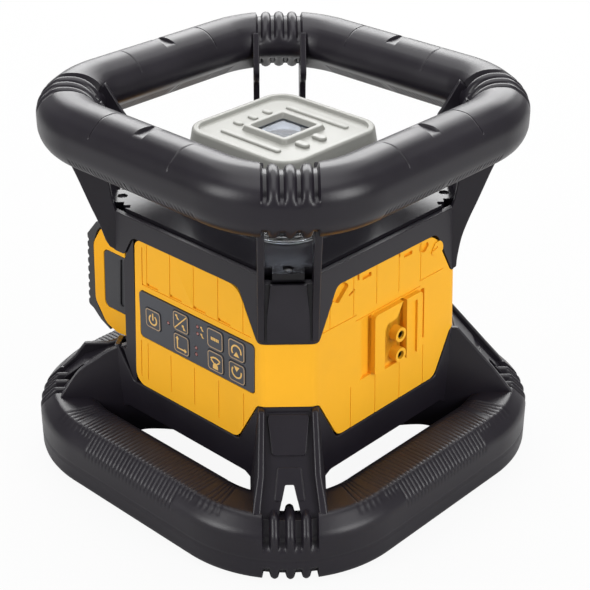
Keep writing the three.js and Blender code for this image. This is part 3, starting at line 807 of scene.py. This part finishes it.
def skirt():
    """The black frame below the side shell, with a wing up to the band at each corner."""
    narrow = unrolled(LEG_OUTER)
    top = SHELL_BOTTOM - GAP
    rim = BAND_BOTTOM - GAP
    corners = [(LOOP_END, top, 0)]
    plain = (unrolled(WING_HALF - GAP), rim)
    away_from_door = (unrolled(WING_HALF - GAP), OPEN_BOTTOM)
    by_door = (22.4, 62)
    for c in CORNER_WAYS[::-1]:
        left, right = plain, plain
        if c > QUARTER:
            left, right = away_from_door, by_door
        if c < -QUARTER:
            left, right = by_door, away_from_door
        corners += [
            (c + right[0], top, 3), (c + narrow, right[1], 3),
            (c - narrow, left[1], 3), (c - left[0], top, 3),
        ]
    corners += [(-LOOP_END, top, 0), (-LOOP_END, SKIRT_BOTTOM, 0)]
    for c in CORNER_WAYS:
        corners += [
            (c - 27, SKIRT_BOTTOM, 4), (c - 19, 32, 3), (c - 13, 32, 1), (c - 10, 46, 3),
            (c + 10, 46, 3), (c + 13, 32, 1), (c + 19, 32, 3), (c + 27, SKIRT_BOTTOM, 4),
        ]
    corners.append((LOOP_END, SKIRT_BOTTOM, 0))
    return fold(round_edges(solid("skirt", (rounded(corners), -3, 0.5)), 0.8, 3))


def cage(name, ring, frame_piece, strut, node):
    """One moulding: a carrying ring, its four struts and the frame round the body."""
    parts = [piece for angle in CORNERS for piece in strut(angle)]
    whole = join(ring, frame_piece, *parts)
    whole.name = name
    paint(whole, SATIN)
    place_piece(whole, "housing", [node])


cage("upper_cage_moulding", upper_ring(), collar(), upper_strut, "upper_cage")
cage("lower_cage_moulding", lower_ring(), skirt(), lower_strut, "lower_cage")


# ---- side shell ----
TILE = 19.6  # spacing of the shallow lines that divide the shell into tiles
DEEP = 6.0


def cut_box(s0, s1, z0, z1, depth, radius=0.3):
    return (rounded_rectangle(s0, s1, z0, z1, radius, 3), -depth, DEEP)


def tile_lines(way, middle, first, last, z0, z1):
    return [
        cut_box(way(middle + TILE * k) - 0.5, way(middle + TILE * k) + 0.5, z0, z1, 0.3)
        for k in range(first, last + 1)
    ]


def shell_outline():
    wide = unrolled(WING_HALF + GAP)
    narrow = unrolled(LEG_OUTER + GAP)
    left = at_front(SHELL_LEFT)
    right = at_rear(SHELL_LEFT)
    low, high = SHELL_BOTTOM, SHELL_TOP
    middle = CORNER_WAYS[1:3]
    corners = [(left, low, 8)]
    for c in middle:
        corners += [
            (c - wide, low, 7), (c - narrow, BAND_BOTTOM, 4),
            (c + narrow, BAND_BOTTOM, 4), (c + wide, low, 7),
        ]
    corners += [(right, low, 8), (right, high, 5)]
    for c in middle[::-1]:
        corners += [
            (c + wide, high, 11), (c + narrow, BAND_TOP, 5), (c - narrow, BAND_TOP, 5), (c - wide, high, 11),
        ]
    corners.append((left, high, 5))
    return rounded(corners)


def keypad_window():
    low, high = KEYPAD_LOW, KEYPAD_HIGH
    return rounded_rectangle(at_front(low.x - 0.3), at_front(high.x + 0.3), low.z - 0.3, high.z + 0.3, 2.5)


def front_relief():
    cuts = tile_lines(at_front, 8.0, -2, 2, 124.3, 160)
    cuts += tile_lines(at_front, 8.3, -2, 2, 62, 86.5)
    seams = [(-35.5, 53, 123.5, 124.2, 0.5), (-35.8, -35.1, 123.5, 147.5, 0.5), (-37.2, -36.6, 62, 86.5, 0.4)]
    cuts += [cut_box(at_front(x0), at_front(x1), *rest) for x0, x1, *rest in seams]
    for k in range(-2, 2):
        start = at_front(8.0 + TILE * k)
        cuts.append(cut_box(start, start + 9.5, 124.6, 126.2, 0.8))
    return cuts


def rear_relief():
    cuts = tile_lines(at_rear, 8.0, -2, 2, 124.3, 160)
    cuts += tile_lines(at_rear, 8.0, -2, 2, 50, 84)
    cuts += [cut_box(at_rear(53), at_rear(-35.5), z, z + 0.7, 0.5) for z in (123.5, 84.3)]
    return cuts


def right_relief():
    cuts = tile_lines(at_right, 9.4, -3, 1, 127, 160)
    cuts += [cut_box(y - 0.5, y + 0.5, 50, 83, 0.3) for y in (-32, -11, 10.5, 32)]
    steps = [(-56, -27, 126.2, 126.9), (-27.7, 29, 122.6, 123.3), (28.3, 50, 126.2, 126.9)]
    cuts += [cut_box(*step_line, 0.5) for step_line in steps]
    notches = [(-26.4, -24.9, 147.2, 160), (9.1, 10.6, 148.2, 160)]
    cuts += [cut_box(*notch, 1.6) for notch in notches]
    slots = [(-22.2, -14.6, 146.0, 148.6), (14.0, 21.4, 146.4, 148.8)]
    cuts += [cut_box(*slot, 1.8, 0.6) for slot in slots]
    pockets = [
        ([(-49.0, 143.6, 0.6), (-42.2, 139.6, 0.6), (-33.2, 147.6, 1.5), (-39.0, 151.6, 4)], 2.4),
        ([(24.8, 146.6, 2), (32.8, 143.0, 2), (38.5, 148.6, 1.5), (29.0, 149.0, 3)], 1.6),
        ([(-33.6, 140.2, 0.6), (-28.4, 142.2, 0.6), (-28.9, 143.6, 0.6), (-33.9, 141.4, 0.6)], 1.5),
    ]
    cuts += [(rounded(corners), -depth, DEEP) for corners, depth in pockets]
    return cuts


def boss_pocket():
    return (rounded([
        (-5.6, 81.2, 1), (13.8, 81.2, 1), (13.8, 121.6, 1), (10.2, 121.6, 2), (5.2, 112.8, 3), (-3, 112.4, 3),
        (-5.6, 109.0, 2),
    ]), -2.2, DEEP)


def block_cuts():
    # An upright channel beside the block, drawn in section as (way round, depth).
    channel = [(-30, 0.25), (-24.8, 0.25), (-18.6, -2.4), (-14.2, -2.4), (-14.2, DEEP), (-30, DEEP)]
    return [
        boss_pocket(),
        (channel, 83.6, 122, lambda s, h, z: (s, z, h)),
        cut_box(28, 33, 87.5, 120.6, 2.4, 0.6),
        cut_box(14.6, 23.4, 81.5, 117.8, -1.4, 1.0),
    ]


def side_shell():
    inserts = [middle_of(node) for node in ("accessory_insert_lower", "accessory_insert_upper")]
    holes = [(disc(y, z, 2.6), -9, 9) for _, y, z in inserts]
    shell = solid("shell", (shell_outline(), -3, 0))
    relief = [*front_relief(), *rear_relief(), *right_relief(), *block_cuts()]
    carve(shell, (keypad_window(), -9, 9), *relief, *holes)
    block = solid("block", (rounded_rectangle(-14.2, 28, 83, 121.5, 2.5), -2.5, 2.9))
    carve(block, *block_cuts(), *holes)
    bosses = solid("bosses", *[(disc(y, z, 4.5, 32), -2.8, 3.1) for _, y, z in inserts])
    carve(bosses, *holes)
    ear_edge = rounded([(42, 146, 3), (38, 140, 2), (44.5, 136.5, 2), (50.5, 139.5, 4), (47.5, 146.5, 4)])
    ear_slit = rounded([(39.6, 141.2, 0.5), (44.4, 142.4, 0.5), (44.0, 143.6, 0.5), (39.3, 142.3, 0.5)])
    ear = solid("ear", (ear_edge, -3, 0.7))
    carve(ear, (ear_slit, -1.5, 9))
    whole = join(shell, block, bosses, ear)
    round_edges(whole, 0.35)
    whole.name = "side_shell_moulding"
    paint(fold(whole), YELLOW)
    place_piece(whole, "housing", ["side_shell"])


side_shell()


# ---- battery door ----
def door_outline():
    """Side view of the door, open towards the body, as (x, z)."""
    front = box_mm("battery_door")[0].x
    back = -84.3
    return rounded([
        (back, 127, 0), (front + 9.5, 127, 9), (front + 0.6, 113, 9), (front - 1.2, 72.5, 9),
        (front + 8.5, 58.2, 9), (front + 19, 55.2, 8), (back, 56.6, 0),
    ], 6)


def across_door(x, z, y):
    return (x, y, z)


def grip_outline(spare=0.0):
    low, high = box_mm("door_grip_front")
    left, bottom, top = low.x - spare, low.z - spare, high.z + spare
    return rounded([(left - 0.6, top, 4), (left - 2.6, bottom, 4), (-84.0, bottom, 0), (-84.0, top, 0)], 6)


def battery_door():
    half = box_mm("battery_door")[1].y
    door = solid("battery_door_moulding", (door_outline(), -half, half, across_door))
    inside = rounded([(-80, 122, 0), (-108, 122, 6), (-110.5, 70, 6), (-103, 62, 6), (-80, 61, 0)], 4)
    cuts = [(inside, 4 - half, half - 4, across_door)]
    for ends in ((-half - 1, 2.5 - half), (half - 2.5, half + 1)):
        cuts.append((grip_outline(0.3), *ends, across_door))
    carve(door, *cuts)
    round_edges(door, 1.6, 3)
    x, _, z = middle_of("door_hinge_pin")
    knuckle_web = [(x - 3.4, z), (x - 4.5, 126), (x + 1, 126), (x + 1, z)]
    knuckle = solid(
        "knuckle",
        (disc(x, z, 3.5, 32), -23.6, 23.6, across_door),
        (knuckle_web, -23.4, 23.4, across_door),
    )
    carve(knuckle, (disc(x, z, 1.9), -30, 30, across_door))
    x, _, z = middle_of("latch_pin")
    lug_outline = rounded([(x - 4, 58, 0), (x - 3, z - 2.6, 2), (x + 3, z - 2.6, 2), (x + 4, 58, 0)], 4)
    lugs = solid("lugs", *[(lug_outline, y - 2.5, y + 2.5, across_door) for y in (-15, 15)])
    carve(lugs, (disc(x, z, 1.5), -30, 30, across_door))
    whole = join(door, round_edges(knuckle, 0.3, angle=32), round_edges(lugs, 0.4, angle=32))
    paint(whole, YELLOW)
    place_piece(whole, "battery_door", ["battery_door"])


def door_grip(name, node):
    """The black finger grip in one side of the door, with an upright slot in it."""
    low, high = box_mm(node)
    outline = grip_outline()
    side = math.copysign(1, low.y + high.y)
    plate_low, plate_high = sorted((side * 49.8, side * 51.7))
    grip = solid(name, (outline, plate_low, plate_high, across_door))
    slot = rounded([(-89.2, 110, 1.5), (-91.8, 77, 1.5), (-88.2, 76, 1.5), (-86.2, 110.5, 1.5)])
    carve(grip, (slot, *sorted((side * 50.6, side * 55)), across_door))
    round_edges(grip, 0.5)
    paint(grip, RUBBER)
    place_piece(grip, "battery_door", [node])


def door_bumper():
    """The rubber pad round the outside of the door, with level serrations."""
    outer = [(-106, 128.8), (-111, 128.4), (-117.4, 121.0)]
    for k in range(9):
        z = 117.5 - 6.0 * k
        x = -120.6 - 0.065 * (116 - z)
        outer += [(x + 1.2, z + 1.2), (x, z), (x, z - 2.8), (x + 1.2, z - 4.0)]
    outer += [(-119.4, 64.4), (-112.6, 58.6), (-106.6, 55.8), (-103.5, 54.4)]
    door = [(-103.6, 55.4), (-106.8, 57.4), (-113.6, 66.0), (-116.4, 74.0), (-114.9, 112.4), (-110.4, 122.4),
            (-105.6, 127.3)]
    half = box_mm("battery_door")[1].y - 0.4
    bumper = solid("door_bumper_moulding", (outer + door, -half, half, across_door))
    round_edges(bumper, 0.5, 2, 30)
    paint(bumper, RUBBER)
    place_piece(bumper, "battery_door", ["door_bumper"])


battery_door()
door_grip("door_grip_front_pad", "door_grip_front")
door_grip("door_grip_rear_pad", "door_grip_rear")
door_bumper()


# ---- lantern and cap ----
def square_ring(name, profile, corner_of):
    """A hollow rounded-square body: a closed profile of (half width, height) turned round a square."""
    bm = bmesh.new()
    rows = []
    for half, z in profile:
        outline = rounded_rectangle(-half, half, -half, half, corner_of(half), 9)
        rows.append([(x, y, z) for x, y in outline])
    add_grid(bm, rows)
    return object_of(bm, name)


def between(value, *stops):
    """Straight-line value between (place, value) stops."""
    for (x0, y0), (x1, y1) in zip(stops, stops[1:]):
        if value <= x1:
            return y0 + (y1 - y0) * max(0.0, value - x0) / (x1 - x0)
    return stops[-1][1]


def slot_shape(x0, x1, y0, y1):
    radius = min(x1 - x0, y1 - y0) / 2 - 0.05
    return rounded_rectangle(x0, x1, y0, y1, radius, 6)


def top_cap():
    low, high = box_mm("top_cap")
    base, top = low.z, high.z
    half = high.x
    floor = top - 2.2
    profile = rounded([
        (half, base, 0.5), (half - 2.4, top, 1.8), (half - 6.0, top, 0.8), (half - 6.7, floor, 0.5),
        (17.6, floor, 0.5), (16.4, top + 0.7, 1.2), (13.6, top + 0.7, 0.9), (12.4, floor - 0.4, 0.4),
        (12.4, floor - 3.0, 0.3), (half - 6, floor - 3.0, 1.0), (half - 3, base, 0.5),
    ], 4)

    def corner_of(width):
        return between(width, (12.4, 0.8), (16.4, 2.4), (17.6, 3.0), (half - 6.7, 10.5), (half, 17.5))
    cap = square_ring("cap_moulding", profile, corner_of)
    raised = floor + 1.2
    marks = solid(
        "marks",
        (slot_shape(-24, 22, -27.8, -23.8), floor - 1, raised),
        (slot_shape(-22, 26, 23.8, 27.8), floor - 1, raised),
        *[(slot_shape(19.4, 29.0, y - 2.6, y + 2.6), floor - 1, raised + 0.6) for y in (-10.5, 3.5)],
        *[(slot_shape(-28, -21, y - 2, y + 2), floor - 1, raised) for y in (-12, 0, 12)],
    )
    round_edges(marks, 1.1, 3)
    whole = join(cap, marks)
    paint(whole, CAP_GREY)
    place_piece(whole, "housing", ["top_cap"])


def lantern():
    base = DECK_TOP + 0.3
    top = box_mm("lantern_glass")[1].z
    profile = rounded([
        (53.5, base, 0.3), (53.5, base + 2.2, 0.9), (50.6, base + 2.8, 1.5), (42.6, top, 0.6),
        (40.2, top, 0.4), (48.0, base + 1.5, 0.5), (48.0, base, 0.2),
    ], 4)
    glass = square_ring("lantern_glazing", profile, lambda width: 20 + (width - 43) * 0.2)
    paint(glass, GLASS)
    place_piece(glass, "housing", ["lantern_glass"])


top_cap()
lantern()


# ---- printed marks on the keypad ----
def add_stroke(bm, points, width, low, high, place, closed=False):
    """Adds a flat line of a given width through the points."""
    count = len(points)
    sections = []
    for i in range(count):
        before = Vector(points[i - 1] if closed or i else points[0])
        after = Vector(points[(i + 1) % count] if closed or i < count - 1 else points[-1])
        along = (after - before).normalized()
        side = Vector((-along.y, along.x)) * width / 2
        here = Vector(points[i])
        ends = ((-1, low), (1, low), (1, high), (-1, high))
        sections.append([bm.verts.new(place(*(here + side * s), h)) for s, h in ends])
    pairs = list(zip(sections, sections[1:]))
    if closed:
        pairs.append((sections[-1], sections[0]))
    else:
        bm.faces.new(sections[0])
        bm.faces.new(sections[-1][::-1])
    for near, far in pairs:
        for k in range(4):
            j = (k + 1) % 4
            bm.faces.new((near[k], far[k], far[j], near[j]))


PRINT_THICK = 0.1
PRINT_ROOT = -0.3  # the prints start under the face, so that no gap shows
LINE = 1.0


def on_keypad(face, middle_x=0, middle_z=0):
    return lambda x, z, out: (middle_x + x, -(face + out), middle_z + z)


def step_mark(x, y, size=1.0):
    """A small flight of two steps."""
    shape = [(-1.5, 1.5), (0.1, 1.5), (0.1, 0.2), (1.6, -1.5), (-0.2, -1.5), (-0.6, 0.1), (-1.5, 0.4)]
    return [(x + size * a, y + size * b) for a, b in shape]


ICON_LINES = {
    "power_button": [arc((0, -0.4), 3.1, 122, 418, 20), [(0, 3.9), (0, -0.6)]],
    "slope_button": [[(-5.4, -5.4), (5.4, 5.4)]],
    "manual_button": [[(-3.2, 3.2), (-3.2, -3.2), (3.2, -3.2)]],
    "speed_button": [[(x, -1.0), (x, 1.0)] for x in (-2.6, -1.3, 0.0, 1.3, 2.6)],
    "scan_button": [arc((0, -3), 5.6, 48, 132, 10), [(-3.4, 0.6), (0, -2.2), (3.4, 0.6)]],
    "clockwise_button": [arc((0, -0.6), 3.6, 215, -15, 18)],
    "counterclockwise_button": [arc((0, 0.6), 3.6, 145, 375, 18)],
}
ICON_AREAS = {
    "slope_button": [step_mark(-2.6, 2.6), step_mark(2.6, -2.6)],
    "manual_button": [[(-4.6, 2.6), (-1.8, 2.6), (-3.2, 4.6)], [(2.6, -1.8), (2.6, -4.6), (4.6, -3.2)]],
    "scan_button": [[(-2.0, -4.6), (2.0, -4.6), (2.0, -2.4), (0, -0.6), (-2.0, -2.4)]],
    "clockwise_button": [[(-2.2, -4.0), (2.2, -4.0), (0, -0.8)]],
    "counterclockwise_button": [[(-2.2, 4.0), (2.2, 4.0), (0, 0.8)]],
}


def key_print(key):
    """A key's printed border and sign, just proud of its face."""
    low, high = box_mm(key)
    middle_x, _, middle_z = middle_of(key)
    place = on_keypad(-low.y, middle_x, middle_z)
    half = (high.x - low.x) / 2 - 0.5
    edge = rounded_rectangle(-half, half, -half, half, 1.9)
    bm = bmesh.new()
    add_stroke(bm, edge, 0.55, PRINT_ROOT, PRINT_THICK, place, closed=True)
    border = paint(object_of(bm, "border"), PRINT_TAN)
    bm = bmesh.new()
    for line in ICON_LINES[key]:
        add_stroke(bm, line, 0.7 if key == "slope_button" else LINE, PRINT_ROOT, PRINT_THICK, place)
    for area in ICON_AREAS.get(key, []):
        add_prism(bm, area, PRINT_ROOT, PRINT_THICK + 0.01, place)
    sign = paint(object_of(bm, "sign"), PRINT_GOLD)
    whole = join(border, sign)
    whole.name = key.replace("button", "key_print")
    place_piece(whole, key)


def panel_print():
    """Small signs beside the lamps, printed on the keypad's face."""
    place = on_keypad(-KEYPAD_LOW.y)
    bm = bmesh.new()
    for lamp in ("slope_x_lamp", "slope_y_lamp"):
        low, high = box_mm(lamp)
        add_prism(bm, step_mark(high.x + 2.6, (low.z + high.z) / 2, 0.85), PRINT_ROOT, PRINT_THICK, place)
    sign = paint(object_of(bm, "panel_signs"), PRINT_GOLD)
    place_piece(sign, "housing")


for key_name in ICON_LINES:
    key_print(key_name)
panel_print()


# ---- carried-over CAD nodes ----
def finish_cad_node(obj, material, width):
    """Rounds a CAD node's edges with live modifiers and gives it its material."""
    weld = obj.modifiers.new("weld", "WELD")
    weld.merge_threshold = 2e-5
    flat = obj.modifiers.new("flat_faces", "DECIMATE")
    flat.decimate_type = "DISSOLVE"
    flat.angle_limit = math.radians(0.6)
    bevel = obj.modifiers.new("round", "BEVEL")
    bevel.width = width * MM
    bevel.segments = 2
    bevel.limit_method = "ANGLE"
    bevel.angle_limit = math.radians(30)
    obj.data.polygons.foreach_set("use_smooth", [True] * len(obj.data.polygons))
    even = obj.modifiers.new("even_normals", "WEIGHTED_NORMAL")
    even.keep_sharp = True
    obj.data.materials.clear()
    obj.data.materials.append(material)


EDGE = {"keypad_bezel": 0.15, "cap_window": 0.2, "prism_block": 0.2}
OWN_MATERIAL = {
    "cap_window": WINDOW, "accessory_insert_upper": DARK_BRASS, "accessory_insert_lower": DARK_BRASS,
}
for row in frame["record"]["subparts"]:
    node = frame["nodes"][row["node"]]
    if not node.hide_render:
        material = OWN_MATERIAL.get(row["node"], BY_SLOT[row["material_slot"]])
        finish_cad_node(node, material, EDGE.get(row["node"], 0.35))


# ---- floor, light and camera ----
def floor():
    """A pale floor that the camera sees almost evenly lit."""
    bm = bmesh.new()
    bmesh.ops.create_grid(bm, x_segments=4, y_segments=4, size=4000)
    ground = object_of(bm, "floor")
    material, nodes, links, surface = new_material("floor")
    patches = noise(nodes, links, 3)
    tint = ramp(nodes, links, patches.outputs["Fac"], (0.46, 0.46, 0.46), (0.48, 0.48, 0.48))
    links.new(tint.outputs["Color"], surface.inputs["Base Color"])
    surface.inputs["Roughness"].default_value = 0.9
    surface.inputs["Specular IOR Level"].default_value = 0.1
    glow = nodes.new("ShaderNodeEmission")
    seen = nodes.new("ShaderNodeLightPath")
    share = nodes.new("ShaderNodeMath")
    share.operation = "MULTIPLY"
    share.inputs[1].default_value = 0.93
    links.new(seen.outputs["Is Camera Ray"], share.inputs[0])
    blend = nodes.new("ShaderNodeMixShader")
    links.new(share.outputs["Value"], blend.inputs["Fac"])
    links.new(surface.outputs["BSDF"], blend.inputs[1])
    links.new(glow.outputs["Emission"], blend.inputs[2])
    links.new(blend.outputs["Shader"], nodes["Material Output"].inputs["Surface"])
    paint(ground, material)
    ground.data.transform(Matrix.Scale(MM, 4))
    ground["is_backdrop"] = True


def soft_light(name, place, aim, size, power):
    """A rectangular area light, in metres and watts."""
    data = bpy.data.lights.new(name, "AREA")
    data.shape = "RECTANGLE"
    data.size, data.size_y = size
    data.energy = power
    light = bpy.data.objects.new(name, data)
    light.location = place
    light.rotation_euler = (Vector(aim) - Vector(place)).to_track_quat("-Z", "Y").to_euler()
    bpy.context.scene.collection.objects.link(light)


def studio():
    """A white backdrop for the camera and a weaker one for the object, with four soft lights."""
    world = bpy.data.worlds.new("studio")
    world.use_nodes = True
    nodes, links = world.node_tree.nodes, world.node_tree.links
    back = nodes["Background"]
    back.inputs["Color"].default_value = (1, 1, 1, 1)
    seen = nodes.new("ShaderNodeLightPath")
    strength = nodes.new("ShaderNodeMapRange")
    strength.inputs["To Min"].default_value = 0.3
    strength.inputs["To Max"].default_value = 1.0
    links.new(seen.outputs["Is Camera Ray"], strength.inputs["Value"])
    links.new(strength.outputs["Result"], back.inputs["Strength"])
    bpy.context.scene.world = world
    soft_light("overhead", (-0.1, 0.1, 1.5), (0, 0, 0.1), (1.6, 1.6), 20)
    soft_light("back", (-1.0, 1.2, 1.0), (0, 0, 0.15), (2.4, 0.9), 40)
    soft_light("left", (-0.3, -1.5, 0.75), (0, 0, 0.1), (0.6, 0.8), 13)
    soft_light("right", (1.5, 0.1, 0.75), (0, 0, 0.1), (0.6, 0.8), 14)
    bpy.context.scene.view_settings.view_transform = "Standard"


def camera():
    """Looks down on the corner between the keypad and accessory sides."""
    data = bpy.data.cameras.new("camera")
    data.sensor_width = 36
    data.lens = 88.96
    data.shift_x = 0.0193
    made = bpy.data.objects.new("camera", data)
    made.location = (0.5326, -0.5601, 0.5194)
    aim = Vector((0, 0, 0.0981))
    made.rotation_euler = (aim - made.location).to_track_quat("-Z", "Y").to_euler()
    bpy.context.scene.collection.objects.link(made)
    bpy.context.scene.camera = made


floor()
studio()
camera()

boxes = {"cad": START_BOX, "visual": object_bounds()}
{name: [list(corner) for corner in box] for name, box in boxes.items()}
